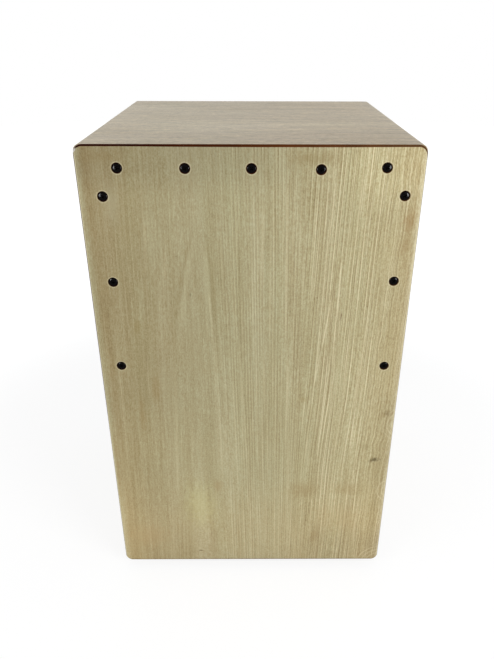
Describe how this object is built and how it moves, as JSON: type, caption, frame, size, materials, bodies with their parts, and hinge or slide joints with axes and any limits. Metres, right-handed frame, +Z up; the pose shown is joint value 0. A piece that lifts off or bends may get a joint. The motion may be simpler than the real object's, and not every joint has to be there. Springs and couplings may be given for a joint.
{
  "type": "cajon",
  "caption": "Plywood box drum with a pale veneered front plate held by black screws, a sound hole at the back and a wire snare inside.",
  "frame": {"origin": "middle of the footprint, on the floor under the rubber feet", "axes": "+Z up, -Y towards the listener in front of the tapa, +X to the right seen from the front"},
  "size_m": [0.3, 0.3, 0.494],
  "materials": {
    "face_veneer": "satin",
    "body_plywood": "satin",
    "softwood": "matte",
    "hardwood": "matte",
    "black_screw": "satin",
    "zinc_steel": "satin",
    "snare_wire": "gloss",
    "black_rubber": "matte"
  },
  "bodies": {
    "root": {"front_tapa": "face_veneer", "top_panel": "body_plywood", "bottom_panel": "body_plywood", "left_side_panel": "body_plywood", "right_side_panel": "body_plywood", "back_panel": "body_plywood", "front_strip_top": "softwood", "front_strip_bottom": "softwood", "front_strip_left": "softwood", "front_strip_right": "softwood", "rear_strip_top": "softwood", "rear_strip_bottom": "softwood", "rear_strip_left": "softwood", "rear_strip_right": "softwood", "corner_block_top_left": "softwood", "corner_block_top_right": "softwood", "corner_block_bottom_left": "softwood", "corner_block_bottom_right": "softwood", "tapa_screw_01": "black_screw", "tapa_screw_02": "black_screw", "tapa_screw_03": "black_screw", "tapa_screw_04": "black_screw", "tapa_screw_05": "black_screw", "tapa_screw_06": "black_screw", "tapa_screw_07": "black_screw", "tapa_screw_08": "black_screw", "tapa_screw_09": "black_screw", "tapa_screw_10": "black_screw", "tapa_screw_11": "black_screw", "snare_bar": "hardwood", "snare_bar_screw_left": "zinc_steel", "snare_bar_screw_right": "zinc_steel", "snare_strip_left": "snare_wire", "snare_strip_right": "snare_wire", "snare_clamp_left": "zinc_steel", "snare_clamp_right": "zinc_steel", "snare_clamp_screw_left_1": "zinc_steel", "snare_clamp_screw_left_2": "zinc_steel", "snare_clamp_screw_right_1": "zinc_steel", "snare_clamp_screw_right_2": "zinc_steel", "rubber_foot_front_left": "black_rubber", "rubber_foot_front_right": "black_rubber", "rubber_foot_rear_left": "black_rubber", "rubber_foot_rear_right": "black_rubber", "foot_washer_front_left": "zinc_steel", "foot_washer_front_right": "zinc_steel", "foot_washer_rear_left": "zinc_steel", "foot_washer_rear_right": "zinc_steel", "foot_screw_front_left": "zinc_steel", "foot_screw_front_right": "zinc_steel", "foot_screw_rear_left": "zinc_steel", "foot_screw_rear_right": "zinc_steel"}
  },
  "joints": []
}
